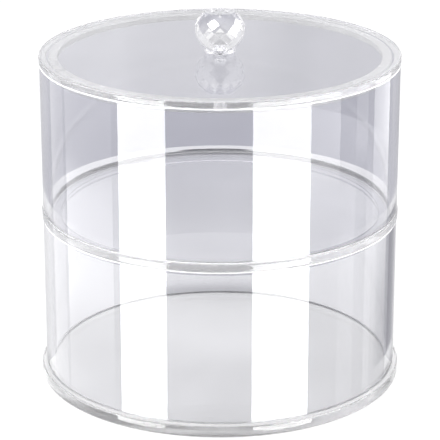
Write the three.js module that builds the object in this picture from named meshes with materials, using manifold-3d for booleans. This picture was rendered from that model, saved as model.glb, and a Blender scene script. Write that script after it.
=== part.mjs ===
// A round two-tier display case of clear acrylic: two trays that stack, and a lid with a faceted knob.
// Each tray is a plate cemented under a length of tube. The upper tray and the lid each carry a ring
// underneath that drops inside the tube below and keeps them in line, so both simply lift off.
// Sizes are in millimetres. +Z points up, and the origin is the centre of the base's underside.

import * as THREE from "three";
import { mergeVertices } from "three/addons/utils/BufferGeometryUtils.js";
import Module from "manifold-3d";

// The tube that both tiers are cut from
const TUBE_OUTER_DIAMETER = 250;
const TUBE_WALL = 5;
const TUBE_EDGE_CHAMFER = 0.6;
const LOWER_TUBE_HEIGHT = 109;
const UPPER_TUBE_HEIGHT = 105;

// The round plates, each a little wider than the tube, with rounded edges
const BASE_THICKNESS = 8;
const BASE_OVERHANG = 3;
const SHELF_THICKNESS = 6;
const SHELF_OVERHANG = 0.5;
const LID_THICKNESS = 5;
const LID_OVERHANG = 0.25;
const PLATE_EDGE_ROUND = 1.2;

// The locating rings under the shelf and the lid
const RING_CLEARANCE = 1.5;
const RING_WIDTH = 6.5;
const RING_HEIGHT = 4;
const RING_EDGE_CHAMFER = 0.6;

// What lies between two faces: a film of cement, or the air under a piece that only rests there
const CEMENT_FILM = 0.1;
const SEAT_GAP = 0.1;

// The knob: a faceted ball with a flat table on top, on a short flared foot
const KNOB_FACETS_AROUND = 10;
const KNOB_CORNER_RINGS = 4;
const KNOB_WIDTH = 35;
const KNOB_BALL_HEIGHT = 25.4;
const KNOB_FOOT_DIAMETER = 21.6;
const KNOB_NECK_DIAMETER = 19.6;
const KNOB_FOOT_HEIGHT = 2.8;
const KNOB_FOOT_RIM = 1.2;
const KNOB_NECK_SINK = 1;

// The metal that holds the knob on: a threaded insert in its foot, and a screw and washer from below
const INSERT_DIAMETER = 7;
const INSERT_LENGTH = 8;
const INSERT_CHAMFER = 0.4;
const INSERT_CEMENT = 0.3;
const SCREW_DIAMETER = 4.8;
const SCREW_THREAD_CLEARANCE = 0.3;
const SCREW_TIP_CHAMFER = 0.6;
const SCREW_TIP_ROOM = 1;
const SCREW_HEAD_DIAMETER = 9.5;
const SCREW_HEAD_HEIGHT = 3.2;
const SCREW_HEAD_ROUND = 1.6;
const RECESS_SPAN = 5;
const RECESS_WIDTH = 1.2;
const RECESS_DEPTH = 1.8;
const LID_HOLE_CLEARANCE = 0.4;
const WASHER_DIAMETER = 12;
const WASHER_THICKNESS = 1;
const WASHER_CHAMFER = 0.2;

// How finely round pieces are cut, and how much of a wall a rounded or scraped edge may take
const WIDE_SEGMENTS = 80;
const SMALL_SEGMENTS = 40;
const ARC_DIVISIONS = 1;
const MOST_EDGE_SHARE = 0.45;

const QUARTER_TURN = Math.PI / 2;
const tubeRadius = TUBE_OUTER_DIAMETER / 2;
const boreRadius = tubeRadius - TUBE_WALL;
const screwRadius = SCREW_DIAMETER / 2;

// Heights of the stack, from the table up
const lowerTubeFoot = BASE_THICKNESS + CEMENT_FILM;
const lowerTubeTop = lowerTubeFoot + LOWER_TUBE_HEIGHT;
const shelfUnderside = lowerTubeTop + SEAT_GAP;
const shelfTop = shelfUnderside + SHELF_THICKNESS;
const upperTubeFoot = shelfTop + CEMENT_FILM;
const upperTubeTop = upperTubeFoot + UPPER_TUBE_HEIGHT;
const lidUnderside = upperTubeTop + SEAT_GAP;
const lidTop = lidUnderside + LID_THICKNESS;
const knobFoot = lidTop + SEAT_GAP;
const washerTop = lidUnderside - SEAT_GAP;
const screwHeadTop = washerTop - WASHER_THICKNESS - SEAT_GAP;
const screwTip = knobFoot + INSERT_LENGTH;

const wasm = await Module();
wasm.setup();

// A closed geometry as a solid that can be joined and cut.
function solidOf(geometry) {
  const bare = geometry.clone();
  bare.deleteAttribute("normal");
  bare.deleteAttribute("uv");
  const merged = mergeVertices(bare);
  return new wasm.Manifold(
    new wasm.Mesh({
      numProp: 3,
      vertProperties: merged.attributes.position.array,
      triVerts: new Uint32Array(merged.index.array),
    }),
  );
}

// A solid as a flat-shaded geometry.
function geometryOf(solid) {
  const mesh = solid.getMesh();
  const indexed = new THREE.BufferGeometry();
  indexed.setAttribute("position", new THREE.BufferAttribute(mesh.vertProperties, 3));
  indexed.setIndex(new THREE.BufferAttribute(mesh.triVerts, 1));
  const geometry = indexed.toNonIndexed();
  geometry.computeVertexNormals();
  return geometry;
}

// An edge's radius or chamfer, held back where the wall is too thin for it.
function edgeSize(wanted, wall) {
  return Math.min(wanted, wall * MOST_EDGE_SHARE);
}

// A profile of radius and height, turned about Z.
function turned(points, segments) {
  const geometry = new THREE.LatheGeometry(points, segments);
  geometry.rotateX(QUARTER_TURN);
  return geometry;
}

// A round plate standing on z = 0 with rounded edges, and a hole through it where one is asked for.
function plate(radius, thickness, holeRadius = 0) {
  const round = edgeSize(PLATE_EDGE_ROUND, thickness);
  const profile = new THREE.Path();
  profile.moveTo(holeRadius, 0);
  profile.lineTo(radius - round, 0);
  profile.absarc(radius - round, round, round, -QUARTER_TURN, 0);
  profile.lineTo(radius, thickness - round);
  profile.absarc(radius - round, thickness - round, round, 0, QUARTER_TURN);
  profile.lineTo(holeRadius, thickness);
  if (holeRadius > 0) profile.lineTo(holeRadius, 0);
  return turned(profile.getPoints(ARC_DIVISIONS), WIDE_SEGMENTS);
}

// A length of tube standing on z = 0, with its four edges scraped to a small chamfer.
function sleeve(innerRadius, outerRadius, height, wantedChamfer, segments) {
  const chamfer = edgeSize(wantedChamfer, Math.min(outerRadius - innerRadius, height));
  const profile = new THREE.Path();
  profile.moveTo(innerRadius + chamfer, 0);
  profile.lineTo(outerRadius - chamfer, 0);
  profile.lineTo(outerRadius, chamfer);
  profile.lineTo(outerRadius, height - chamfer);
  profile.lineTo(outerRadius - chamfer, height);
  profile.lineTo(innerRadius + chamfer, height);
  profile.lineTo(innerRadius, height - chamfer);
  profile.lineTo(innerRadius, chamfer);
  profile.lineTo(innerRadius + chamfer, 0);
  return turned(profile.getPoints(), segments);
}

function tube(height) {
  return sleeve(boreRadius, tubeRadius, height, TUBE_EDGE_CHAMFER, WIDE_SEGMENTS);
}

function locatingRing() {
  const outerRadius = boreRadius - RING_CLEARANCE;
  return sleeve(outerRadius - RING_WIDTH, outerRadius, RING_HEIGHT, RING_EDGE_CHAMFER, WIDE_SEGMENTS);
}

// Latitudes of the rings of facet corners on a unit ball, from the girdle up. Each ring is turned half a
// step from the next, and a kite spans three of them: it is flat when its top corner lies on the line
// from its bottom corner through the point midway between its side corners.
function cornerLatitudes(halfStep) {
  const latitudes = [halfStep / 2];
  let below = -halfStep / 2;
  while (latitudes.length < KNOB_CORNER_RINGS) {
    const beside = latitudes[latitudes.length - 1];
    const bottom = new THREE.Vector2(Math.cos(below), Math.sin(below));
    const middle = new THREE.Vector2(Math.cos(beside) * Math.cos(halfStep), Math.sin(beside));
    const slope = middle.clone().sub(bottom);
    const reach = (-2 * bottom.dot(slope)) / slope.lengthSq();
    latitudes.push(bottom.clone().addScaledVector(slope, reach).angle());
    below = beside;
  }
  return latitudes;
}

// The faceted ball, standing on z = 0 on its lowest ring of corners. Its top ring bounds the table.
function facetedBall() {
  const around = KNOB_FACETS_AROUND;
  const halfStep = Math.PI / around;
  const upper = cornerLatitudes(halfStep);
  const latitudes = [...upper.map((latitude) => -latitude).reverse(), ...upper];
  const last = latitudes.length - 1;
  const acrossScale = KNOB_WIDTH / 2 / Math.cos(upper[0]);
  const heightScale = KNOB_BALL_HEIGHT / 2 / Math.sin(latitudes[last]);

  const corners = [];
  latitudes.forEach((latitude, ring) => {
    const radius = Math.cos(latitude) * acrossScale;
    const height = KNOB_BALL_HEIGHT / 2 + Math.sin(latitude) * heightScale;
    for (let step = 0; step < around; step++) {
      const angle = (2 * step + (ring % 2)) * halfStep;
      corners.push(radius * Math.cos(angle), radius * Math.sin(angle), height);
    }
  });
  const corner = (ring, step) => ring * around + (step % around);

  const triangles = [];
  for (let ring = 0; ring <= last; ring++) {
    for (let step = 0; step < around; step++) {
      const left = corner(ring, step);
      const right = corner(ring, step + 1);
      const tip = step + (ring % 2);
      if (ring > 0) triangles.push(corner(ring - 1, tip), right, left);
      if (ring < last) triangles.push(left, right, corner(ring + 1, tip));
    }
  }
  for (let step = 1; step < around - 1; step++) {
    triangles.push(corner(0, 0), corner(0, step + 1), corner(0, step));
    triangles.push(corner(last, 0), corner(last, step), corner(last, step + 1));
  }
  const geometry = new THREE.BufferGeometry();
  geometry.setAttribute("position", new THREE.Float32BufferAttribute(corners, 3));
  geometry.setIndex(triangles);
  return geometry;
}

// The flared foot, whose neck runs a little way up inside the ball.
function knobFootSolid() {
  const footRadius = KNOB_FOOT_DIAMETER / 2;
  const neckRadius = KNOB_NECK_DIAMETER / 2;
  const rim = Math.min(KNOB_FOOT_RIM, KNOB_FOOT_HEIGHT * MOST_EDGE_SHARE);
  const sunkTop = KNOB_FOOT_HEIGHT + KNOB_NECK_SINK;
  const profile = new THREE.Path();
  profile.moveTo(0, 0);
  profile.lineTo(footRadius, 0);
  profile.lineTo(footRadius, rim);
  profile.lineTo(neckRadius, KNOB_FOOT_HEIGHT);
  profile.lineTo(neckRadius - KNOB_NECK_SINK, sunkTop);
  profile.lineTo(0, sunkTop);
  return solidOf(turned(profile.getPoints(), SMALL_SEGMENTS));
}

// The knob, standing on z = 0, with a blind hole for its insert and the tip of the screw.
function knob() {
  const ball = solidOf(facetedBall().translate(0, 0, KNOB_FOOT_HEIGHT));
  const holeRadius = INSERT_DIAMETER / 2 + INSERT_CEMENT;
  const holeDepth = INSERT_LENGTH + SCREW_TIP_ROOM;
  const drill = new THREE.CylinderGeometry(holeRadius, holeRadius, 2 * holeDepth, SMALL_SEGMENTS);
  drill.rotateX(QUARTER_TURN);
  return geometryOf(ball.add(knobFootSolid()).subtract(solidOf(drill)));
}

function insert() {
  const bore = screwRadius + SCREW_THREAD_CLEARANCE;
  return sleeve(bore, INSERT_DIAMETER / 2, INSERT_LENGTH, INSERT_CHAMFER, SMALL_SEGMENTS);
}

function washer() {
  const hole = screwRadius + LID_HOLE_CLEARANCE;
  return sleeve(hole, WASHER_DIAMETER / 2, WASHER_THICKNESS, WASHER_CHAMFER, SMALL_SEGMENTS);
}

// The pan-head screw, with the bottom of its head on z = 0 and a cross recess cut up into it.
function screw(length) {
  const headRadius = SCREW_HEAD_DIAMETER / 2;
  const round = edgeSize(SCREW_HEAD_ROUND, Math.min(SCREW_HEAD_HEIGHT, headRadius));
  const tip = edgeSize(SCREW_TIP_CHAMFER, screwRadius);
  const profile = new THREE.Path();
  profile.moveTo(0, 0);
  profile.lineTo(headRadius - round, 0);
  profile.absarc(headRadius - round, round, round, -QUARTER_TURN, 0);
  profile.lineTo(headRadius, SCREW_HEAD_HEIGHT);
  profile.lineTo(screwRadius, SCREW_HEAD_HEIGHT);
  profile.lineTo(screwRadius, length - tip);
  profile.lineTo(screwRadius - tip, length);
  profile.lineTo(0, length);
  const blank = solidOf(turned(profile.getPoints(ARC_DIVISIONS), SMALL_SEGMENTS));
  const slot = new THREE.BoxGeometry(RECESS_SPAN, RECESS_WIDTH, 2 * RECESS_DEPTH);
  const cross = solidOf(slot).add(solidOf(slot.clone().rotateZ(QUARTER_TURN)));
  return geometryOf(blank.subtract(cross));
}

// Finishes: clear acrylic throughout, with a plated steel insert, screw and washer
function clearAcrylic() {
  return new THREE.MeshStandardMaterial({
    color: 0xe3e3ec,
    roughness: 0.05,
    metalness: 0,
    transparent: true,
    opacity: 0.4,
  });
}

function steel() {
  return new THREE.MeshStandardMaterial({ color: 0xb8babd, roughness: 0.3, metalness: 1 });
}

// Adds a named piece to a group at a height above the table.
function addPiece(group, name, geometry, material, height) {
  const mesh = new THREE.Mesh(geometry, material);
  mesh.name = name;
  mesh.position.z = height;
  group.add(mesh);
}

function lowerTray() {
  const group = new THREE.Group();
  addPiece(group, "base_plate", plate(tubeRadius + BASE_OVERHANG, BASE_THICKNESS), clearAcrylic(), 0);
  addPiece(group, "lower_tube", tube(LOWER_TUBE_HEIGHT), clearAcrylic(), lowerTubeFoot);
  return group;
}

function upperTray() {
  const group = new THREE.Group();
  const shelf = plate(tubeRadius + SHELF_OVERHANG, SHELF_THICKNESS);
  const ringFoot = shelfUnderside - CEMENT_FILM - RING_HEIGHT;
  addPiece(group, "shelf_plate", shelf, clearAcrylic(), shelfUnderside);
  addPiece(group, "shelf_locating_ring", locatingRing(), clearAcrylic(), ringFoot);
  addPiece(group, "upper_tube", tube(UPPER_TUBE_HEIGHT), clearAcrylic(), upperTubeFoot);
  return group;
}

function lid() {
  const group = new THREE.Group();
  const lidPlate = plate(tubeRadius + LID_OVERHANG, LID_THICKNESS, screwRadius + LID_HOLE_CLEARANCE);
  const ringFoot = lidUnderside - CEMENT_FILM - RING_HEIGHT;
  const screwFoot = screwHeadTop - SCREW_HEAD_HEIGHT;
  addPiece(group, "lid_plate", lidPlate, clearAcrylic(), lidUnderside);
  addPiece(group, "lid_locating_ring", locatingRing(), clearAcrylic(), ringFoot);
  addPiece(group, "knob", knob(), clearAcrylic(), knobFoot);
  addPiece(group, "knob_insert", insert(), steel(), knobFoot);
  addPiece(group, "knob_screw", screw(screwTip - screwFoot), steel(), screwFoot);
  addPiece(group, "screw_washer", washer(), steel(), washerTop - WASHER_THICKNESS);
  return group;
}

const displayCase = new THREE.Group();
displayCase.add(lowerTray(), upperTray(), lid());

export default displayCase;
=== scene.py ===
"""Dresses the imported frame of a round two-tier display case in clear acrylic.

Two trays of tube and sheet stack on each other under a flat lid with a faceted knob. Every piece is turned or
cut here as a closed mesh on the frame's own sizes and given its finish: cast sheet, drawn tube, turned ring,
moulded knob and plated steel. All lengths are in metres.
"""

import logging
import math
from dataclasses import dataclass, field, replace
from enum import Enum
from typing import ClassVar

import bmesh
import bpy
from bmesh.types import BMesh
from bpy.types import ID, Material, Node, NodeOutputs, NodeSocket, Object, World
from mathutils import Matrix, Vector


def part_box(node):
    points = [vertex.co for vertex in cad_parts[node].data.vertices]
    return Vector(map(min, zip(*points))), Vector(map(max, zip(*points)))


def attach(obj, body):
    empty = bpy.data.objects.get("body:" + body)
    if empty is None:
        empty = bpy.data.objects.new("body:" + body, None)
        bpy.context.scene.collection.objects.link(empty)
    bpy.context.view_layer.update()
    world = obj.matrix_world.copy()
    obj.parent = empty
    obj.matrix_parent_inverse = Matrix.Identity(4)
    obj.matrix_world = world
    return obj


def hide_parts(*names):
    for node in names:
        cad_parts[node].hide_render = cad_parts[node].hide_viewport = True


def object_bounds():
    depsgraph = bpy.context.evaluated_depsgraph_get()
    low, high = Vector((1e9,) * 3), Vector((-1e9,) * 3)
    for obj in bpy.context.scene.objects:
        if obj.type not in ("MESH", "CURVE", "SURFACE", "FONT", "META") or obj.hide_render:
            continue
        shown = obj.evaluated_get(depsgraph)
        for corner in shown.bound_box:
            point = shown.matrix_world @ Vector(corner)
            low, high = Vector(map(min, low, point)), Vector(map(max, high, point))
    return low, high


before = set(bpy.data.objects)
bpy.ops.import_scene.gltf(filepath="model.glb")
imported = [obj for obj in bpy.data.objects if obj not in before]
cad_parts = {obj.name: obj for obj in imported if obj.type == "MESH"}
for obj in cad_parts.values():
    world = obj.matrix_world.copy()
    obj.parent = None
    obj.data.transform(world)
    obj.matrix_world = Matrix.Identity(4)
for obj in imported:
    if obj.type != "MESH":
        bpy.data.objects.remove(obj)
CAD_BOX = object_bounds()

MM = 0.001

# Steps round the axis of a wide and of a small piece, and steps along a rounded corner.
WIDE_STEPS = 256
SMALL_STEPS = 72
ARC_STEPS = 6
# A radius below this lies on the axis.
ON_AXIS = 1e-9
# The edges of a plate's hole are rounded by this share of its rim's rounding.
HOLE_ROUNDING = 0.25
# A face is level where the height of its normal is above the first, and upright where it is below the second.
LEVEL_TILT = 0.98
UPRIGHT_TILT = 0.08
# Most values of a noise texture lie between these.
NOISE_RANGE = {"From Min": 0.3, "From Max": 0.7}
# The numbers of the colour sockets on a Mix node.
MIX_FACTOR = 0
MIX_FIRST = 6
MIX_SECOND = 7
MIX_RESULT = 2
# The face of a card with four corners.
ONE_FACE = [[0, 1, 2, 3]]

log = logging.getLogger("display_case")

Colour = tuple[float, float, float]
# An outer radius, and the heights of the lowest and highest points.
Span = tuple[float, float, float]
# Points, and for each face the numbers of its corners.
Shape = tuple[list[Vector], list[list[int]]]


class Body(Enum):
    """The bodies of the frame that pieces ride on."""

    LOWER_TRAY = "lower_tray"
    UPPER_TRAY = "upper_tray"
    LID = "lid"


class Slot(Enum):
    """The record's material slots."""

    SHEET = "sheet_acrylic"
    TUBE = "tube_acrylic"
    RING = "ring_acrylic"
    KNOB = "knob_acrylic"
    INSERT = "insert_steel"
    SCREW = "screw_steel"


class Working(Enum):
    """How a surface was made: the swings of its marks in a metre or a radian, and their finer detail."""

    CAST = (18.0, 1.0)
    DRAWN = (6.0, 3.0)
    TURNED = (900.0, 2.0)
    MOULDED = (120.0, 1.0)
    PLATED = (4000.0, 2.0)


class Cut(Enum):
    """Which faces of a turned piece were cut and left satin."""

    RIM = "all but the level faces"
    DULL_RIM = "all but the level faces, left duller"
    ENDS = "all but the upright faces"


class Aim(Enum):
    """What a soft box points at."""

    CASE = "the middle of the case"
    KNOB = "the middle of the knob"


class SeenBy(Enum):
    """What shows a card, which the camera itself never sees."""

    MIRRORS = "reflections alone"
    ACRYLIC = "a look through the acrylic alone"
    ALL = "all but the camera"


def reach(node: str) -> Span:
    """How far a node reaches outwards, down and up."""
    low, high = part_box(node)
    return high.x, low.z, high.z


def round_point(radius: float, height: float, turn: float) -> Vector:
    """The point at a share of a whole turn round the axis."""
    angle = math.tau * turn
    return Vector((radius * math.cos(angle), radius * math.sin(angle), height))


def round_row(radius: float, height: float, steps: int) -> list[Vector]:
    """A row of points round the axis, or the one point where it lies on the axis."""
    count = 1 if radius < ON_AXIS else steps
    return [round_point(radius, height, step / steps) for step in range(count)]


def band(lower: list, upper: list) -> list[list]:
    """The faces between two rows of corners round the axis.

    Args:
        lower: one row, or a single corner on the axis.
        upper: the row that follows it, or a single corner on the axis.

    Returns:
        The corners of each face: four, or three where a row has a single corner.
    """
    steps = max(len(lower), len(upper))
    faces = []
    for step in range(steps):
        following = (step + 1) % steps
        forth = [lower[place % len(lower)] for place in (step, following)]
        back = [upper[place % len(upper)] for place in (following, step)]
        faces.append(list(dict.fromkeys(forth + back)))
    return faces


def link_piece(name: str, data: ID) -> Object:
    """Puts a mesh, a lamp or a camera into the scene.

    Args:
        name: the object's name.
        data: what it shows.

    Returns:
        The new object.
    """
    piece = bpy.data.objects.new(name, data)
    bpy.context.scene.collection.objects.link(piece)
    return piece


def mesh_piece(name: str, points: list[Vector], faces: list[list[int]]) -> Object:
    """Makes an object from points and faces.

    Args:
        name: the object's name.
        points: all corners of its faces.
        faces: for each face, the numbers of its corners.

    Returns:
        The new object.
    """
    mesh = bpy.data.meshes.new(name)
    mesh.from_pydata(points, [], faces)
    return link_piece(name, mesh)


def shape_piece(name: str, shape: BMesh) -> Object:
    """Makes an object from an edited mesh.

    Args:
        name: the object's name.
        shape: the edited mesh, which is freed.

    Returns:
        The new object.
    """
    mesh = bpy.data.meshes.new(name)
    shape.to_mesh(mesh)
    shape.free()
    return link_piece(name, mesh)


def rows_piece(name: str, rows: list[list[Vector]], closed: bool) -> Object:
    """Joins rows of points round the axis into a piece.

    Args:
        name: the piece's name.
        rows: the rows in the order of a walk along the section. A point on the axis is a row of one.
        closed: whether the last row joins the first. Otherwise the end rows are capped.

    Returns:
        The new piece.
    """
    numbers: list[list[int]] = []
    points: list[Vector] = []
    for row in rows:
        numbers.append(list(range(len(points), len(points) + len(row))))
        points += row
    faces = [face for lower, upper in zip(numbers, numbers[1:]) for face in band(lower, upper)]
    if closed:
        faces += band(numbers[-1], numbers[0])
    else:
        faces += [cap for cap in (numbers[0][::-1], numbers[-1]) if len(cap) > 1]
    return mesh_piece(name, points, faces)


def smooth(piece: Object, sharp_deg: float) -> None:
    """Smooths a piece, apart from its edges that bend by more than an angle."""
    piece.data.shade_smooth()
    piece.data.set_sharp_from_angle(angle=math.radians(sharp_deg))


@dataclass(frozen=True)
class Corner:
    """A corner of a turned section: its radius from the axis, its height and how far it is rounded."""

    radius: float
    height: float
    rounding: float = 0.0


@dataclass(frozen=True)
class Station:
    """A point of a turned section, with the way the surface faces there."""

    radius: float
    height: float
    outward: float
    upward: float


class Section:
    """The outline of a turned piece, walked with the material on its left."""

    def __init__(self, corners: list[Corner], closed: bool) -> None:
        """Rounds each corner and keeps the points that result.

        Args:
            corners: the outline's corners in order.
            closed: whether the outline closes on itself, or is open at both ends.
        """
        self.closed = closed
        self.stations: list[Station] = []
        count = len(corners)
        for index, corner in enumerate(corners):
            before = corners[index - 1] if closed or index > 0 else None
            after = corners[(index + 1) % count] if closed or index < count - 1 else None
            self._round(before, corner, after)

    @staticmethod
    def _way(start: Corner, end: Corner) -> Vector:
        """The unit direction from one corner to the next."""
        return Vector((end.radius - start.radius, end.height - start.height)).normalized()

    def _round(self, before: Corner | None, corner: Corner, after: Corner | None) -> None:
        """Adds the stations of one corner.

        Args:
            before: the corner before it, or None at the start of an open outline.
            corner: the corner itself.
            after: the corner after it, or None at the end of an open outline.
        """
        here = Vector((corner.radius, corner.height))
        if before is None or after is None:
            way = self._way(corner, after) if after else self._way(before, corner)
            self.stations.append(Station(here.x, here.y, way.y, -way.x))
            return
        way_in = self._way(before, corner)
        way_out = self._way(corner, after)
        turn = math.atan2(way_in.cross(way_out), way_in.dot(way_out))
        bend = 1.0 if turn > 0 else -1.0
        start = here - way_in * corner.rounding * math.tan(abs(turn) / 2)
        facing = math.atan2(-way_in.x, way_in.y)
        centre = start - Vector((math.cos(facing), math.sin(facing))) * corner.rounding * bend
        for step in range(ARC_STEPS + 1):
            angle = facing + turn * step / ARC_STEPS
            out = Vector((math.cos(angle), math.sin(angle)))
            point = centre + out * corner.rounding * bend
            self.stations.append(Station(point.x, point.y, out.x, out.y))

    def turn(self, name: str, steps: int) -> Object:
        """Turns the section about the case's axis, with its own facing as the surface normals.

        Args:
            name: the piece's name.
            steps: how many steps it has round the axis.

        Returns:
            The new piece.
        """
        rows = [round_row(station.radius, station.height, steps) for station in self.stations]
        normals: list[Vector] = []
        for station, row in zip(self.stations, rows):
            turns = [step / steps for step in range(len(row))]
            normals += [round_point(station.outward, station.upward, turn) for turn in turns]
        piece = rows_piece(name, rows, self.closed)
        piece.data.shade_smooth()
        piece.data.normals_split_custom_set_from_vertices(normals)
        piece.data.update()
        return piece


def disc(name: str, span: Span, rounding: float, hole: float) -> Object:
    """A round plate with rounded edges.

    Args:
        name: the piece's name.
        span: its outer radius, and the heights of its underside and its top.
        rounding: how far its outer edges are rounded.
        hole: the radius of the hole on its axis, or 0 for none.

    Returns:
        The new piece.
    """
    radius, low, high = span
    edge = rounding * HOLE_ROUNDING if hole > 0 else 0.0
    rim = [Corner(radius, low, rounding), Corner(radius, high, rounding)]
    corners = [Corner(hole, low, edge), *rim, Corner(hole, high, edge)]
    return Section(corners, closed=hole > 0).turn(name, WIDE_STEPS)


def sleeve(name: str, span: Span, thickness: float, rounding: float, steps: int = WIDE_STEPS) -> Object:
    """A length of tube with rounded edges.

    Args:
        name: the piece's name.
        span: its outer radius, and the heights of its ends.
        thickness: how thick its wall is.
        rounding: how far its four edges are rounded.
        steps: how many steps it has round the axis.

    Returns:
        The new piece.
    """
    radius, low, high = span
    inner = radius - thickness
    places = [(inner, low), (radius, low), (radius, high), (inner, high)]
    corners = [Corner(across, height, rounding) for across, height in places]
    return Section(corners, closed=True).turn(name, steps)


class NodeSheet:
    """The node tree of a material or of the world, which is filled one node at a time."""

    def __init__(self, owner: Material | World) -> None:
        """Gives the owner an empty node tree.

        Args:
            owner: what the nodes are for.
        """
        owner.use_nodes = True
        self.tree = owner.node_tree
        self.tree.nodes.clear()

    def add(self, kind: str, inputs: dict[str | int, object] | None = None, **settings: object) -> Node:
        """Adds a node.

        Args:
            kind: the node's type name in Blender.
            inputs: for each input, a value or a socket to link from.
            settings: properties of the node itself.

        Returns:
            The new node.
        """
        node = self.tree.nodes.new(kind)
        for key, value in settings.items():
            setattr(node, key, value)
        for key, value in (inputs or {}).items():
            if isinstance(value, NodeSocket):
                self.tree.links.new(value, node.inputs[key])
            else:
                node.inputs[key].default_value = value
        return node

    def place(self) -> NodeSocket:
        """The place on the piece, in metres."""
        return self.add("ShaderNodeTexCoord").outputs["Object"]

    def axes(self, place: NodeSocket) -> NodeOutputs:
        """The three coordinates of a place, as outputs X, Y and Z."""
        return self.add("ShaderNodeSeparateXYZ", {0: place}).outputs

    def maths(self, operation: str, first: object, second: object = 0.0) -> NodeSocket:
        """The result of a sum, by its name in Blender, on two numbers or sockets."""
        return self.add("ShaderNodeMath", {0: first, 1: second}, operation=operation).outputs[0]

    def noise(self, place: NodeSocket, scale: float, detail: float) -> NodeSocket:
        """A smooth random value from 0 to 1.

        Args:
            place: the socket with the place, or with one number where the value follows that alone.
            scale: how many swings it makes in a metre, or in one unit of the number.
            detail: how much finer structure it has.

        Returns:
            The socket with the value.
        """
        one_number = place.type == "VALUE"
        inputs = {"W" if one_number else "Vector": place, "Scale": scale, "Detail": detail}
        noise = self.add("ShaderNodeTexNoise", inputs, noise_dimensions="1D" if one_number else "3D")
        return noise.outputs["Fac"]

    def spread(self, value: NodeSocket, low: float, high: float) -> NodeSocket:
        """A noise value from its usual range onto another one."""
        inputs = {"Value": value, **NOISE_RANGE, "To Min": low, "To Max": high}
        return self.add("ShaderNodeMapRange", inputs).outputs["Result"]

    def ramp(self, value: NodeSocket, start: float, end: float) -> NodeSocket:
        """A smooth rise from 0 to 1, while a value goes from a start to an end."""
        inputs = {"Value": value, "From Min": start, "From Max": end, "To Min": 0.0, "To Max": 1.0}
        return self.add("ShaderNodeMapRange", inputs, interpolation_type="SMOOTHSTEP").outputs["Result"]

    def blend(self, factor: object, first: Colour, second: Colour) -> NodeSocket:
        """The colour between two others that a factor from 0 to 1 picks."""
        inputs = {MIX_FACTOR: factor, MIX_FIRST: (*first, 1.0), MIX_SECOND: (*second, 1.0)}
        return self.add("ShaderNodeMix", inputs, data_type="RGBA").outputs[MIX_RESULT]

    def mix(self, factor: object, first: Node, second: Node) -> NodeSocket:
        """The mix of two shaders by a factor from 0 to 1."""
        inputs = {0: factor, 1: first.outputs[0], 2: second.outputs[0]}
        return self.add("ShaderNodeMixShader", inputs).outputs[0]


@dataclass(frozen=True)
class Finish:
    """How a surface looks: a cloudy tone, a hazy gloss and the marks of its making.

    The defaults are those of clear acrylic.
    """

    name: str
    tone: Colour
    working: Working
    clear_share: float = 1.0
    metallic: float = 0.0
    index: float = 1.49
    pale_share: float = 1.025
    deep_share: float = 0.975
    cloud_scale: float = 14.0
    cloud_detail: float = 2.0
    smoothest: float = 0.004
    roughest: float = 0.02
    haze_scale: float = 55.0
    haze_detail: float = 5.0
    mark_strength: float = 1.0
    mark_depth: float = 0.02 * MM
    depth_tone: Colour = (0.5, 0.5, 0.54)
    depth_loss: float = 0.0

    def material(self) -> Material:
        """The finish as a material, which all pieces with this finish share.

        Returns:
            The material.
        """
        made = bpy.data.materials.get(self.name)
        if made:
            return made
        material = bpy.data.materials.new(self.name)
        sheet = NodeSheet(material)
        place = sheet.place()
        shares = (self.pale_share, self.deep_share)
        tones = [tuple(min(1.0, level * share) for level in self.tone) for share in shares]
        clouds = sheet.spread(sheet.noise(place, self.cloud_scale, self.cloud_detail), 0.0, 1.0)
        haze = sheet.noise(place, self.haze_scale, self.haze_detail)
        marks = self._marks(sheet, place)
        height = {"Height": marks, "Strength": self.mark_strength, "Distance": self.mark_depth}
        shader = sheet.add(
            "ShaderNodeBsdfPrincipled",
            {
                "Base Color": sheet.blend(clouds, *tones),
                "Metallic": self.metallic,
                "Roughness": sheet.spread(haze, self.smoothest, self.roughest),
                "IOR": self.index,
                "Transmission Weight": self.clear_share,
                "Normal": sheet.add("ShaderNodeBump", height).outputs["Normal"],
            },
        )
        ends = {"Surface": shader.outputs["BSDF"]}
        if self.depth_loss > 0:
            inside = {"Color": (*self.depth_tone, 1.0), "Density": self.depth_loss}
            ends["Volume"] = sheet.add("ShaderNodeVolumeAbsorption", inside).outputs["Volume"]
        sheet.add("ShaderNodeOutputMaterial", ends)
        return material

    def _marks(self, sheet: NodeSheet, place: NodeSocket) -> NodeSocket:
        """The height of the marks that the piece's making left on it.

        Args:
            sheet: the node tree to add to.
            place: the socket with the place on the piece.

        Returns:
            The socket with the height, from 0 to 1.
        """
        axes = sheet.axes(place)
        if self.working is Working.DRAWN:
            place = sheet.maths("ARCTAN2", axes["Y"], axes["X"])
        elif self.working is Working.TURNED:
            squares = [sheet.maths("POWER", axes[axis], 2.0) for axis in ("X", "Y")]
            across = sheet.maths("SQRT", sheet.maths("ADD", *squares))
            place = sheet.maths("ADD", across, axes["Z"])
        elif self.working is Working.PLATED:
            place = axes["Z"]
        return sheet.noise(place, *self.working.value)


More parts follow.
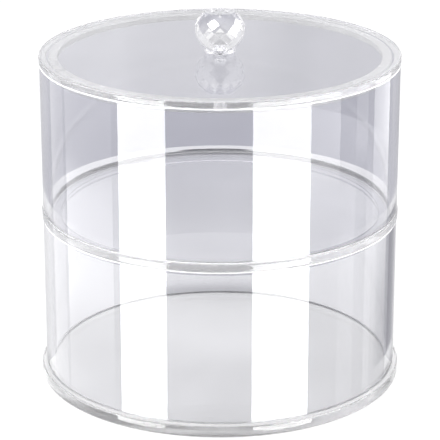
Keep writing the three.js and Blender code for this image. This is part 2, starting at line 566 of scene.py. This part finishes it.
SHEET_FINISH = Finish("cast_sheet", (0.96, 0.96, 0.967), Working.CAST)
TUBE_FINISH = Finish("drawn_tube", (0.88, 0.88, 0.90), Working.DRAWN, depth_loss=6.0)
RING_FINISH = Finish("turned_ring", (0.99, 0.99, 0.995), Working.TURNED, mark_depth=0.005 * MM)
SATIN_RING_FINISH = Finish(
    "satin_ring", (0.99, 0.99, 0.99), Working.TURNED, clear_share=0.05, smoothest=0.2, roughest=0.3
)
RIM_FINISH = Finish(
    "satin_rim", (0.97, 0.97, 0.98), Working.TURNED, clear_share=0.9, smoothest=0.08, roughest=0.15
)
DULL_RIM_FINISH = replace(RIM_FINISH, name="dull_rim", clear_share=0.82)
END_FINISH = replace(SATIN_RING_FINISH, name="scraped_end", smoothest=0.3, roughest=0.4)
CUT_FINISHES = {Cut.RIM: RIM_FINISH, Cut.DULL_RIM: DULL_RIM_FINISH, Cut.ENDS: END_FINISH}
KNOB_FINISH = Finish("moulded_knob", (0.97, 0.97, 0.98), Working.MOULDED, mark_depth=0.005 * MM)
INSERT_FINISH = Finish(
    "plated_insert",
    (0.95, 0.95, 0.96),
    Working.PLATED,
    clear_share=0.0,
    metallic=1.0,
    index=1.5,
    pale_share=1.0,
    deep_share=0.82,
    cloud_scale=700.0,
    cloud_detail=4.0,
    smoothest=0.1,
    roughest=0.2,
    haze_scale=1500.0,
    haze_detail=4.0,
    mark_strength=0.5,
    mark_depth=0.03 * MM,
)
SCREW_FINISH = replace(
    INSERT_FINISH, name="plated_screw", tone=(0.92, 0.92, 0.93), smoothest=0.12, roughest=0.25
)


@dataclass
class SubAssembly:
    """Pieces that move together on one body of the frame, cut from the same stock as the rest of the case."""

    body: Body
    wall: float = 5 * MM
    ring_width: float = 6.5 * MM
    plate_rounding: float = 1.2 * MM
    end_rounding: float = 0.5 * MM

    def plate(self, name: str, node: str, cut: Cut, hole: float = 0.0) -> None:
        """Makes and dresses a plate, with a hole of a radius on its axis or none."""
        piece = disc(name, reach(node), self.plate_rounding, hole)
        self.settle(piece, node, Slot.SHEET, SHEET_FINISH, cut)

    def tube(self, name: str, node: str) -> None:
        """Makes and dresses the wall of a tier."""
        piece = sleeve(name, reach(node), self.wall, self.end_rounding)
        self.settle(piece, node, Slot.TUBE, TUBE_FINISH, Cut.ENDS)

    def ring(self, name: str, node: str, finish: Finish) -> None:
        """Makes and dresses a locating ring."""
        piece = sleeve(name, reach(node), self.ring_width, self.end_rounding)
        self.settle(piece, node, Slot.RING, finish)

    def settle(self, piece: Object, node: str, slot: Slot, finish: Finish, cut: Cut | None = None) -> None:
        """Dresses a piece and puts it in a node's place.

        Args:
            piece: the new piece.
            node: the frame's node that it stands for.
            slot: the record's slot for its finish; not used.
            finish: the finish itself.
            cut: which of its faces were cut and left satin, if any.
        """
        piece.data.materials.append(finish.material())
        if cut:
            piece.data.materials.append(CUT_FINISHES[cut].material())
            for face in piece.data.polygons:
                tilt = abs(face.normal.z)
                was_cut = tilt > UPRIGHT_TILT if cut is Cut.ENDS else tilt < LEVEL_TILT
                face.material_index = int(was_cut)
        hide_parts(node)
        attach(piece, self.body.value)
        log.info("%s stands for %s on %s", piece.name, node, self.body.value)


@dataclass
class LowerTray(SubAssembly):
    """The base disc and the wall of the lower tier."""

    body: Body = Body.LOWER_TRAY

    def build(self) -> None:
        """Makes and dresses the tray's pieces."""
        self.plate("base_disc", "base_plate", Cut.RIM)
        self.tube("lower_wall", "lower_tube")


@dataclass
class UpperTray(SubAssembly):
    """The shelf with its locating ring, and the wall of the upper tier."""

    body: Body = Body.UPPER_TRAY

    def build(self) -> None:
        """Makes and dresses the tray's pieces."""
        self.plate("shelf_disc", "shelf_plate", Cut.DULL_RIM)
        self.ring("shelf_ring", "shelf_locating_ring", RING_FINISH)
        self.tube("upper_wall", "upper_tube")


@dataclass
class FacetedKnob:
    """The clear knob: a ball of flat kite facets with a table on top, on a flared foot with a blind hole."""

    around: int = 10
    corner_rings: int = 4
    ball_height: float = 25.4 * MM
    foot_radius: float = 10.8 * MM
    neck_radius: float = 9.8 * MM
    foot_rim: float = 1.2 * MM
    hole_radius: float = 3.8 * MM
    hole_depth: float = 9 * MM
    facet_bevel: float = 0.18 * MM
    bevel_segments: int = 2
    bevel_roundness: float = 0.5
    foot_rounding: float = 0.4 * MM

    def piece(self) -> Object:
        """Makes the knob as one closed mesh.

        Returns:
            The new piece.
        """
        shape = bmesh.new()
        self._ball(shape)
        self._foot(shape)
        bmesh.ops.recalc_face_normals(shape, faces=shape.faces)
        return shape_piece("faceted_knob", shape)

    def _latitudes(self) -> list[float]:
        """Latitudes of the rings of facet corners on a unit ball, from the lowest up.

        Returns:
            One angle for each ring. Each kite spans three rings and is flat, which gives the next ring from
            the two before it.
        """
        half_step = math.pi / self.around
        upper = [half_step / 2]
        below = -half_step / 2
        while len(upper) < self.corner_rings:
            bottom = Vector((math.cos(below), math.sin(below)))
            middle = Vector((math.cos(upper[-1]) * math.cos(half_step), math.sin(upper[-1])))
            slope = middle - bottom
            top = bottom + slope * (-2 * bottom.dot(slope) / slope.length_squared)
            below = upper[-1]
            upper.append(math.atan2(top.y, top.x))
        return [-latitude for latitude in reversed(upper)] + upper

    def _ball(self, shape: BMesh) -> None:
        """Adds the faceted ball, open below.

        Args:
            shape: the mesh to add to.
        """
        radius, _, top = reach("knob")
        latitudes = self._latitudes()
        last = len(latitudes) - 1
        across = radius / math.cos(latitudes[last // 2])
        upward = self.ball_height / 2 / math.sin(latitudes[last])
        rings = []
        for index, latitude in enumerate(latitudes):
            width = math.cos(latitude) * across
            height = top - self.ball_height / 2 + math.sin(latitude) * upward
            turns = [(2 * step + index % 2) / (2 * self.around) for step in range(self.around)]
            rings.append([shape.verts.new(round_point(width, height, turn)) for turn in turns])
        for index, ring in enumerate(rings):
            for step in range(self.around):
                left = ring[step]
                right = ring[(step + 1) % self.around]
                tip = (step + index % 2) % self.around
                below = [rings[index - 1][tip]] if index > 0 else []
                above = [rings[index + 1][tip]] if index < last else []
                shape.faces.new([*below, right, *above, left])
        shape.faces.new(rings[last])
        shape.faces.new(list(reversed(rings[0])))
        bmesh.ops.bevel(
            shape,
            geom=list(shape.edges),
            offset=self.facet_bevel,
            segments=self.bevel_segments,
            profile=self.bevel_roundness,
            affect="EDGES",
        )
        lowest = min(shape.faces, key=lambda face: face.calc_center_median().z)
        bmesh.ops.delete(shape, geom=[lowest], context="FACES_ONLY")

    def _foot(self, shape: BMesh) -> None:
        """Adds the foot and its blind hole, and closes the mesh up to the ball.

        Args:
            shape: the mesh with the open ball.
        """
        _, foot, top = reach("knob")
        mouth = [edge for edge in shape.edges if edge.is_boundary]
        rounding = self.foot_rounding
        corners = [
            Corner(0, foot + self.hole_depth),
            Corner(self.hole_radius, foot + self.hole_depth, rounding),
            Corner(self.hole_radius, foot, rounding),
            Corner(self.foot_radius, foot, rounding),
            Corner(self.foot_radius, foot + self.foot_rim, rounding),
            Corner(self.neck_radius, top - self.ball_height),
        ]
        rows = []
        for station in Section(corners, closed=False).stations:
            places = round_row(station.radius, station.height, SMALL_STEPS)
            rows.append([shape.verts.new(place) for place in places])
        for lower, upper in zip(rows, rows[1:]):
            for face_corners in band(lower, upper):
                shape.faces.new(face_corners).smooth = True
        rim = [edge for edge in shape.edges if edge.is_boundary and edge not in mouth]
        bmesh.ops.triangle_fill(shape, use_beauty=True, edges=mouth + rim, normal=(0, 0, -1))


@dataclass
class KnobFixing:
    """The metal that holds the knob: a knurled insert, and a threaded screw with its washer."""

    bore: float = 2.7 * MM
    flutes: int = 24
    steps_per_flute: int = 4
    flute_depth: float = 0.22 * MM
    groove_depth: float = 0.4 * MM
    groove_width: float = 0.9 * MM
    insert_sharp_deg: float = 40.0
    shank_radius: float = 2.4 * MM
    thread_depth: float = 0.42 * MM
    thread_pitch: float = 0.8 * MM
    steps_per_pitch: int = 8
    runout_share: float = 0.5
    head_height: float = 3.2 * MM
    head_rounding: float = 1.6 * MM
    tip_chamfer: float = 0.6 * MM
    recess_span: float = 5 * MM
    recess_width: float = 1.2 * MM
    recess_depth: float = 1.8 * MM
    recess_span_taper: float = 0.55
    recess_width_taper: float = 0.7
    screw_sharp_deg: float = 35.0
    washer_hole: float = 2.8 * MM
    washer_rounding: float = 0.2 * MM

    def washer(self) -> Object:
        """Makes the flat washer."""
        span = reach("screw_washer")
        return sleeve("flat_washer", span, span[0] - self.washer_hole, self.washer_rounding, SMALL_STEPS)

    def insert(self) -> Object:
        """Makes the insert.

        Returns:
            The new piece, fluted outside, with a plain groove round its middle.
        """
        radius, low, high = reach("knob_insert")
        half_height = (high - low) / 2
        half_groove = self.groove_width / 2
        plain = radius - self.groove_depth
        # The corners of the upper half: radius, height above the middle, and whether it is fluted.
        upper = [
            (plain, half_groove, 0.0),
            (radius, half_groove, 1.0),
            (radius, half_height - self.flute_depth, 1.0),
            (radius - self.flute_depth, half_height, 0.0),
            (self.bore, half_height, 0.0),
        ]
        lower = [(across, -rise, fluted) for across, rise, fluted in reversed(upper)]
        steps = self.flutes * self.steps_per_flute
        turns = [step / steps for step in range(steps)]
        flute_depths = [abs(math.sin(math.pi * self.flutes * turn)) * self.flute_depth for turn in turns]
        rows = []
        for across, rise, fluted in lower + upper:
            height = (low + high) / 2 + rise
            widths = [across - depth * fluted for depth in flute_depths]
            rows.append([round_point(width, height, turn) for width, turn in zip(widths, turns)])
        insert = rows_piece("threaded_insert", rows, closed=True)
        smooth(insert, self.insert_sharp_deg)
        return insert

    def screw(self) -> Object:
        """Makes the pan-head screw with its thread and cross recess.

        Returns:
            The new piece.
        """
        screw = rows_piece("pan_head_screw", self._screw_rows(), closed=False)
        self._cut_recess(screw)
        smooth(screw, self.screw_sharp_deg)
        return screw

    def _screw_rows(self) -> list[list[Vector]]:
        """The screw's points, row by row from the bottom of its head to its tip.

        Returns:
            Rows of points round the axis.
        """
        radius, low, high = reach("knob_screw")
        shoulder = low + self.head_height
        head = []
        for step in range(ARC_STEPS + 1):
            angle = math.pi / 2 * step / ARC_STEPS
            width = radius - self.head_rounding * (1 - math.sin(angle))
            head.append((width, low + self.head_rounding * (1 - math.cos(angle))))
        head += [(radius, shoulder), (self.shank_radius - self.thread_depth * self.runout_share, shoulder)]
        rows = [round_row(width, height, SMALL_STEPS) for width, height in head]
        turns = [step / SMALL_STEPS for step in range(SMALL_STEPS)]
        count = int((high - shoulder) / self.thread_pitch * self.steps_per_pitch)
        for index in range(1, count + 1):
            # The thread runs out at the shoulder, and the shank narrows at the tip.
            height = shoulder + (high - shoulder) * index / count
            fade = min(1.0, (height - shoulder) / self.thread_pitch)
            to_tip = max(0.0, self.tip_chamfer - (high - height))
            row = []
            for turn in turns:
                groove = abs(2 * ((height / self.thread_pitch - turn) % 1.0) - 1)
                depth = self.thread_depth * (groove * fade + self.runout_share * (1 - fade))
                row.append(round_point(self.shank_radius - depth - to_tip, height, turn))
            rows.append(row)
        return rows

    def _cut_recess(self, screw: Object) -> None:
        """Cuts the cross recess into the bottom of the screw's head.

        Args:
            screw: the screw, which gets the cut mesh.
        """
        low = reach("knob_screw")[1]
        for turn in (0.0, math.pi / 2):
            way = Vector((math.cos(turn), math.sin(turn), 0))
            rotation = Vector((1, 0, 0)).rotation_difference(way)
            shape = bmesh.new()
            bmesh.ops.create_cube(shape, size=1.0)
            for vert in shape.verts:
                deep = vert.co.z > 0
                span = self.recess_span * (self.recess_span_taper if deep else 1.0)
                width = self.recess_width * (self.recess_width_taper if deep else 1.0)
                place = Vector((vert.co.x * span, vert.co.y * width, vert.co.z * 2 * self.recess_depth))
                place.rotate(rotation)
                vert.co = place + Vector((0, 0, low))
            cutter = shape_piece("recess_cutter", shape)
            cut = screw.modifiers.new("recess", "BOOLEAN")
            cut.operation = "DIFFERENCE"
            cut.solver = "EXACT"
            cut.object = cutter
            evaluated = screw.evaluated_get(bpy.context.evaluated_depsgraph_get())
            screw.data = bpy.data.meshes.new_from_object(evaluated)
            screw.modifiers.clear()
            bpy.data.objects.remove(cutter)


@dataclass
class Lid(SubAssembly):
    """The lid disc with its locating ring, the knob, and the metal that holds the knob."""

    body: Body = Body.LID
    screw_hole: float = 2.8 * MM
    knob: FacetedKnob = field(default_factory=FacetedKnob)
    fixing: KnobFixing = field(default_factory=KnobFixing)

    def build(self) -> None:
        """Makes and dresses the lid's pieces."""
        self.plate("lid_disc", "lid_plate", Cut.RIM, self.screw_hole)
        self.ring("lid_ring", "lid_locating_ring", SATIN_RING_FINISH)
        self.settle(self.knob.piece(), "knob", Slot.KNOB, KNOB_FINISH)
        self.settle(self.fixing.insert(), "knob_insert", Slot.INSERT, INSERT_FINISH)
        self.settle(self.fixing.screw(), "knob_screw", Slot.SCREW, SCREW_FINISH)
        self.settle(self.fixing.washer(), "screw_washer", Slot.SCREW, SCREW_FINISH)


@dataclass(frozen=True)
class Viewpoint:
    """The camera at the photograph's viewing angle."""

    place: tuple[float, float, float] = (0.0, -1.4269, 0.6114)
    pitch_down: float = 0.338
    lens_px: float = 2130.0
    picture_px: float = 440.0
    sensor_mm: float = 36.0
    farthest: float = 50.0

    def build(self) -> None:
        """Makes the camera and gives it to the scene."""
        data = bpy.data.cameras.new("viewpoint")
        data.sensor_width = self.sensor_mm
        data.lens = self.lens_px / self.picture_px * self.sensor_mm
        data.clip_end = self.farthest
        camera = link_piece("viewpoint", data)
        camera.location = self.place
        camera.rotation_euler = (math.pi / 2 - self.pitch_down, 0.0, 0.0)
        bpy.context.scene.camera = camera


VIEWPOINT = Viewpoint()


def level_way(azimuth_deg: float) -> Vector:
    """The level direction at an angle from the front of the case, growing to the right."""
    angle = math.radians(azimuth_deg)
    return Vector((math.sin(angle), -math.cos(angle)))


def upright_shape(start: Vector, end: Vector, height: float) -> Shape:
    """The points and the face of a card that stands upright on an edge from a start to an end."""
    places = [(start, 0.0), (end, 0.0), (end, height), (start, height)]
    return [Vector((place.x, place.y, level)) for place, level in places], ONE_FACE


@dataclass(frozen=True)
class Card:
    """A card that gives the acrylic something to show."""

    seen_by: ClassVar[SeenBy]
    name: str

    def build(self) -> None:
        """Makes the card and hides it from all that it isn't meant for."""
        card = mesh_piece(self.name, *self._shape())
        material = bpy.data.materials.new(self.name)
        sheet = NodeSheet(material)
        sheet.add("ShaderNodeOutputMaterial", {"Surface": self._shader(sheet)})
        card.data.materials.append(material)
        card.visible_camera = False
        if self.seen_by is not SeenBy.ALL:
            card.visible_diffuse = False
            card.visible_shadow = False
            card.visible_glossy = self.seen_by is SeenBy.MIRRORS
            card.visible_transmission = self.seen_by is SeenBy.ACRYLIC

    def _shape(self) -> Shape:
        """The card's points and faces."""
        raise NotImplementedError

    def _shader(self, sheet: NodeSheet) -> NodeSocket:
        """The card's shader."""
        raise NotImplementedError


@dataclass(frozen=True)
class StripCard(Card):
    """A glowing card on the floor that the front of the wall mirrors as an upright stripe.

    The stripe runs between two columns of the wall, given as angles from the front of the case. Its glow is
    given as pairs of a distance from the wall and the strength there, and changes smoothly between them.
    """

    seen_by: ClassVar[SeenBy] = SeenBy.MIRRORS
    from_column_deg: float
    to_column_deg: float
    glow: tuple[tuple[float, float], ...]
    near: float = 0.012
    far: float = 1.7
    fade_from: float = 0.84
    fade_to: float = 1.6
    lift: float = 0.6 * MM

    @staticmethod
    def _mirror_ray(column_deg: float) -> tuple[Vector, Vector]:
        """Where a column of the wall stands on the floor, and the way its mirror image leads.

        Args:
            column_deg: the column's angle from the front of the case.

        Returns:
            The column's foot, and the direction along the floor that the camera sees mirrored in it.
        """
        facing = level_way(column_deg)
        foot = facing * reach("lower_tube")[0]
        look = (foot - Vector(VIEWPOINT.place[:2])).normalized()
        return foot, (look - 2 * look.dot(facing) * facing).normalized()

    def _shape(self) -> Shape:
        """The strip between the mirror images of its two columns.

        Returns:
            Its points, and its one face.
        """
        corners = []
        for column, order in ((self.from_column_deg, 1), (self.to_column_deg, -1)):
            foot, way = self._mirror_ray(column)
            ends = [foot + way * self.near, foot + way * self.far]
            corners += [Vector((end.x, end.y, self.lift)) for end in ends[::order]]
        return corners, ONE_FACE

    def _shader(self, sheet: NodeSheet) -> NodeSocket:
        """The strip's glow.

        Args:
            sheet: the node tree to fill.

        Returns:
            The socket with the shader.
        """
        across = sheet.add("ShaderNodeVectorMath", {0: sheet.place()}, operation="LENGTH").outputs["Value"]
        from_wall = sheet.maths("SUBTRACT", across, reach("lower_tube")[0])
        strength = self.glow[0][1]
        for (start, before), (end, after) in zip(self.glow, self.glow[1:]):
            change = sheet.maths("MULTIPLY", sheet.ramp(from_wall, start, end), after - before)
            strength = sheet.maths("ADD", strength, change)
        strength = sheet.maths("MULTIPLY", sheet.ramp(from_wall, self.fade_to, self.fade_from), strength)
        return sheet.add("ShaderNodeEmission", {"Strength": strength}).outputs[0]


@dataclass(frozen=True)
class Arc:
    """Two angles from the back of the case, growing to the right, and how soft the ends between them are."""

    from_deg: float
    to_deg: float
    soft_deg: float

    def ends(self) -> tuple[tuple[float, float], tuple[float, float]]:
        """For each end, the angles in radians where the arc starts and where it is full."""
        start, end, soft = (math.radians(angle) for angle in (self.from_deg, self.to_deg, self.soft_deg))
        return (start, start + soft), (end, end - soft)


@dataclass(frozen=True)
class PaintedShadeCard(Card):
    """A ring card that stands free round the case and paints shade into the clear wall in front of it, or
    light where it is near white.

    It glows along an arc, or all the way round where it has none, and is clear elsewhere. It glows on its
    inner side alone, and not for light that a satin or matt face has scattered.
    """

    seen_by: ClassVar[SeenBy] = SeenBy.ACRYLIC
    low: float
    high: float
    gap: float
    tone: Colour
    arc: Arc | None = None
    top_tone: Colour | None = None
    columns: int = 96

    def _shape(self) -> Shape:
        """The ring, facing inwards.

        Returns:
            Its points and faces.
        """
        radius = reach("upper_tube")[0] + self.gap
        rows = [round_row(radius, height, self.columns)[::-1] for height in (self.low, self.high)]
        numbers = list(range(2 * self.columns))
        return rows[0] + rows[1], band(numbers[:self.columns], numbers[self.columns:])

    def _shader(self, sheet: NodeSheet) -> NodeSocket:
        """The ring's painted shade, which changes from its lower to its upper edge where it has a top tone.

        Args:
            sheet: the node tree to fill.

        Returns:
            The socket with the shader.
        """
        axes = sheet.axes(sheet.place())
        tone = (*self.tone, 1.0)
        if self.top_tone:
            tone = sheet.blend(sheet.ramp(axes["Z"], self.low, self.high), self.tone, self.top_tone)
        shown = sheet.maths("SUBTRACT", 1.0, sheet.add("ShaderNodeNewGeometry").outputs["Backfacing"])
        scattered = sheet.maths("MINIMUM", sheet.add("ShaderNodeLightPath").outputs["Diffuse Depth"], 1.0)
        shown = sheet.maths("SUBTRACT", shown, scattered)
        if self.arc:
            turn = sheet.maths("ARCTAN2", axes["X"], axes["Y"])
            for edge, inside in self.arc.ends():
                shown = sheet.maths("MULTIPLY", shown, sheet.ramp(turn, edge, inside))
        clear = sheet.add("ShaderNodeBsdfTransparent")
        # The emission is painted shade, which the acrylic shows in place of what lies behind it.
        return sheet.mix(shown, clear, sheet.add("ShaderNodeEmission", {"Color": tone}))


@dataclass(frozen=True)
class SideBoard(Card):
    """An upright board that stands out from the case and glows grey for reflections alone: a painted grey
    reflection on the edge of its wall.
    """

    seen_by: ClassVar[SeenBy] = SeenBy.MIRRORS
    azimuth_deg: float
    reach_out: float
    tone: Colour
    gap: float = 3 * MM

    def _shape(self) -> Shape:
        """The board, as high as the wall.

        Returns:
            Its points, and its one face.
        """
        radius, _, high = reach("upper_tube")
        out = level_way(self.azimuth_deg)
        near = out * (radius + self.gap)
        return upright_shape(near, near + out * self.reach_out, high)

    def _shader(self, sheet: NodeSheet) -> NodeSocket:
        """The board's even glow."""
        return sheet.add("ShaderNodeEmission", {"Color": (*self.tone, 1.0)}).outputs[0]


@dataclass(frozen=True)
class DarkFlag(Card):
    """A dark board behind the camera, which keeps the front of the rims and of the knob grey."""

    seen_by: ClassVar[SeenBy] = SeenBy.ALL
    name: str = "dark_flag"
    distance: float = 2.4
    width: float = 3.2
    height: float = 2.2
    tone: Colour = (0.05, 0.05, 0.055)

    def _shape(self) -> Shape:
        """The board, square to the view."""
        ends = [Vector((side * self.width / 2, -self.distance)) for side in (-1, 1)]
        return upright_shape(*ends, self.height)

    def _shader(self, sheet: NodeSheet) -> NodeSocket:
        """The board's matt tone."""
        return sheet.add("ShaderNodeBsdfDiffuse", {"Color": (*self.tone, 1.0)}).outputs[0]


@dataclass(frozen=True)
class SoftBox:
    """A square soft lamp.

    One that points at the case lights its satin faces. One that points at the knob also shows in its facets.
    """

    name: str
    azimuth_deg: float
    elevation_deg: float
    distance: float
    width: float
    power: float
    aim: Aim = Aim.CASE

    def build(self) -> None:
        """Makes the lamp and points it at its aim."""
        elevation = math.radians(self.elevation_deg)
        level = level_way(self.azimuth_deg) * math.cos(elevation)
        way = Vector((level.x, level.y, math.sin(elevation)))
        low, high = CAD_BOX if self.aim is Aim.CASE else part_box("knob")
        data = bpy.data.lights.new(self.name, "AREA")
        data.shape = "SQUARE"
        data.size = self.width
        data.energy = self.power
        lamp = link_piece(self.name, data)
        lamp.location = (low + high) / 2 + way * self.distance
        lamp.rotation_euler = way.to_track_quat("Z", "Y").to_euler()
        lamp.visible_camera = False
        lamp.visible_glossy = self.aim is Aim.KNOB
        lamp.visible_transmission = False


# The arcs along which the painted-shade ring cards glow.
PLATE_BACK = Arc(-16.0, 12.0, 5.0)
WALL_BACK = Arc(-30.0, 25.0, 14.0)
WALL_RIGHT = Arc(5.0, 100.0, 30.0)
WALL_EDGE = Arc(76.0, 112.0, 6.0)
KNOB_BACK = Arc(-11.0, 11.0, 4.0)


@dataclass
class Studio:
    """A pale floor, soft light from all round, soft boxes, a dark flag, and glowing cards that paint
    reflections and shade into the acrylic.
    """

    light_bounces: int = 96
    floor_radius: float = 9.0
    floor_steps: int = 128
    floor_gap: float = 0.4 * MM
    floor_tone: Colour = (0.9, 0.9, 0.905)
    floor_lift: float = 0.82
    sky_tone: Colour = (0.98, 0.98, 1.0)
    horizon_light: float = 0.92
    front_light: float = 3.0
    back_light: float = 0.5
    sky_low: float = 0.3
    sky_high: float = 1.0
    sky_side: float = 0.5
    boxes: tuple[SoftBox, ...] = (
        SoftBox("front_left_box", -36.0, 31.0, 1.5, 0.6, 8.0),
        SoftBox("right_box", 65.0, 25.0, 1.6, 1.1, 12.0),
        SoftBox("left_box", -75.0, 25.0, 1.6, 1.1, 12.0),
        SoftBox("kite_glint", -41.0, 39.0, 1.5, 0.25, 4.0, Aim.KNOB),
        SoftBox("side_glint", 71.0, 2.0, 1.5, 0.25, 4.0, Aim.KNOB),
        SoftBox("shoulder_glint", 111.0, 19.0, 1.5, 0.25, 2.0, Aim.KNOB),
    )
    strips: tuple[StripCard, ...] = (
        StripCard("left_strip", -32.1, -16.4, ((0.0, 13.5),)),
        StripCard("left_band", -55.5, -34.5, ((0.05, 1.6), (0.25, 3.6), (0.4, 3.6), (0.55, 1.9))),
        StripCard("left_outer_band", -75.0, -57.0, ((0.0, 1.6),)),
        StripCard(
            "middle_band",
            -16.4,
            9.7,
            ((0.1, 0.5), (0.18, 2.6), (0.22, 2.2), (0.27, 0.0), (0.36, 1.2), (0.48, 0.0)),
        ),
        StripCard("right_strip", 9.7, 28.15, ((0.0, 13.5),)),
        StripCard("right_band", 28.15, 39.0, ((0.1, 0.5), (0.3, 0.7), (0.45, 1.2), (0.6, 4.0))),
        StripCard("right_middle_band", 46.0, 51.5, ((0.1, 0.5), (0.3, 0.2), (0.45, 0.5), (0.6, 2.0))),
        StripCard("right_outer_band", 55.0, 67.5, ((0.1, 0.5), (0.3, 1.1), (0.45, 2.1), (0.6, 3.2))),
    )
    # Painted shade that the acrylic shows in place of what lies behind: grey rings and arcs grey the walls,
    # the base rim and the knob; dark arcs darken the lid, shelf and base rims and the right edge of the lower
    # wall; the near-white middle arc and the top of the low arc paint light into the lower wall.
    painted_shade_cards: tuple[PaintedShadeCard, ...] = (
        PaintedShadeCard("upper_ring", 0.1236, 0.2283, 12 * MM, (0.6, 0.6, 0.66), top_tone=(0.73, 0.73, 0.78)),
        PaintedShadeCard(
            "upper_right_arc", 0.16, 0.2283, 11.5 * MM, (0.52, 0.52, 0.58), WALL_RIGHT, (0.5, 0.5, 0.56)
        ),
        PaintedShadeCard("lid_arc", 0.2286, 0.2332, 4 * MM, (0.06, 0.06, 0.07), PLATE_BACK),
        PaintedShadeCard("middle_arc", 0.048, 0.110, 14 * MM, (0.99, 0.99, 1.0), WALL_BACK, (0.91, 0.91, 0.93)),
        PaintedShadeCard("low_arc", 0.003, 0.014, 14 * MM, (0.66, 0.66, 0.68), WALL_BACK, (1.04, 1.04, 1.05)),
        PaintedShadeCard("knob_arc", 0.25, 0.85, 0.4, (0.58, 0.58, 0.6), KNOB_BACK),
        PaintedShadeCard("shelf_arc", 0.1170, 0.1236, 4 * MM, (0.2, 0.2, 0.21), PLATE_BACK),
        PaintedShadeCard("base_ring", 0.0004, 0.0062, 5 * MM, (0.62, 0.62, 0.64)),
        PaintedShadeCard("base_arc", 0.0004, 0.0064, 4 * MM, (0.02, 0.02, 0.02), PLATE_BACK),
        PaintedShadeCard("right_edge_arc", 0.01, 0.116, 12 * MM, (0.3, 0.3, 0.34), WALL_EDGE),
    )
    # Painted grey reflections on the front and the sides of the wall.
    boards: tuple[SideBoard, ...] = (
        SideBoard("front_board", 0.0, 0.7, (0.5, 0.5, 0.52)),
        SideBoard("right_board", 90.0, 0.035, (0.6, 0.6, 0.62)),
        SideBoard("left_board", -90.0, 0.035, (0.7, 0.7, 0.72)),
    )
    flag: DarkFlag = DarkFlag()

    def build(self) -> None:
        """Makes the floor, the light and the camera."""
        scene = bpy.context.scene
        scene.view_settings.view_transform = "Standard"
        scene.cycles.max_bounces = self.light_bounces
        scene.cycles.glossy_bounces = self.light_bounces
        scene.cycles.transmission_bounces = self.light_bounces
        self._floor()
        self._sky()
        for item in (*self.boxes, *self.strips, *self.painted_shade_cards, *self.boards, self.flag, VIEWPOINT):
            item.build()

    def _floor(self) -> None:
        """Makes a pale floor just below the base, lifted towards white where it is looked at."""
        edge = round_row(self.floor_radius, -self.floor_gap, self.floor_steps)
        floor = mesh_piece("floor", edge, [list(range(self.floor_steps))])
        material = bpy.data.materials.new("pale_floor")
        sheet = NodeSheet(material)
        path = sheet.add("ShaderNodeLightPath").outputs
        seen = sheet.maths("MAXIMUM", path["Is Camera Ray"], path["Is Glossy Ray"])
        seen = sheet.maths("MAXIMUM", seen, path["Is Transmission Ray"])
        lift = sheet.maths("MULTIPLY", seen, self.floor_lift)
        matt = sheet.add("ShaderNodeBsdfDiffuse", {"Color": (*self.floor_tone, 1.0)})
        white = sheet.add("ShaderNodeEmission", {"Color": (1.0, 1.0, 1.0, 1.0), "Strength": 1.0})
        sheet.add("ShaderNodeOutputMaterial", {"Surface": sheet.mix(lift, matt, white)})
        floor.data.materials.append(material)

    def _sky(self) -> None:
        """Makes soft light from all round, stronger above the front of the case and weaker above its back."""
        world = bpy.data.worlds.new("soft_room")
        sheet = NodeSheet(world)
        axes = sheet.axes(sheet.add("ShaderNodeTexCoord").outputs["Generated"])
        rise = sheet.ramp(axes["Z"], self.sky_low, self.sky_high)
        front = sheet.ramp(axes["Y"], self.sky_side, -self.sky_side)
        above = sheet.maths("MULTIPLY", front, self.front_light - self.back_light)
        above = sheet.maths("ADD", above, self.back_light - self.horizon_light)
        strength = sheet.maths("ADD", sheet.maths("MULTIPLY", rise, above), self.horizon_light)
        seen = sheet.add("ShaderNodeLightPath").outputs["Is Camera Ray"]
        strength = sheet.maths("MAXIMUM", strength, seen)
        light = sheet.add("ShaderNodeBackground", {"Color": (*self.sky_tone, 1.0), "Strength": strength})
        sheet.add("ShaderNodeOutputWorld", {"Surface": light.outputs[0]})
        bpy.context.scene.world = world


def main() -> None:
    """Builds the studio and the case, piece by piece."""
    logging.basicConfig(level=logging.INFO, format="%(message)s")
    Studio().build()
    for assembly in (LowerTray(), UpperTray(), Lid()):
        assembly.build()


if __name__ == "__main__":
    main()
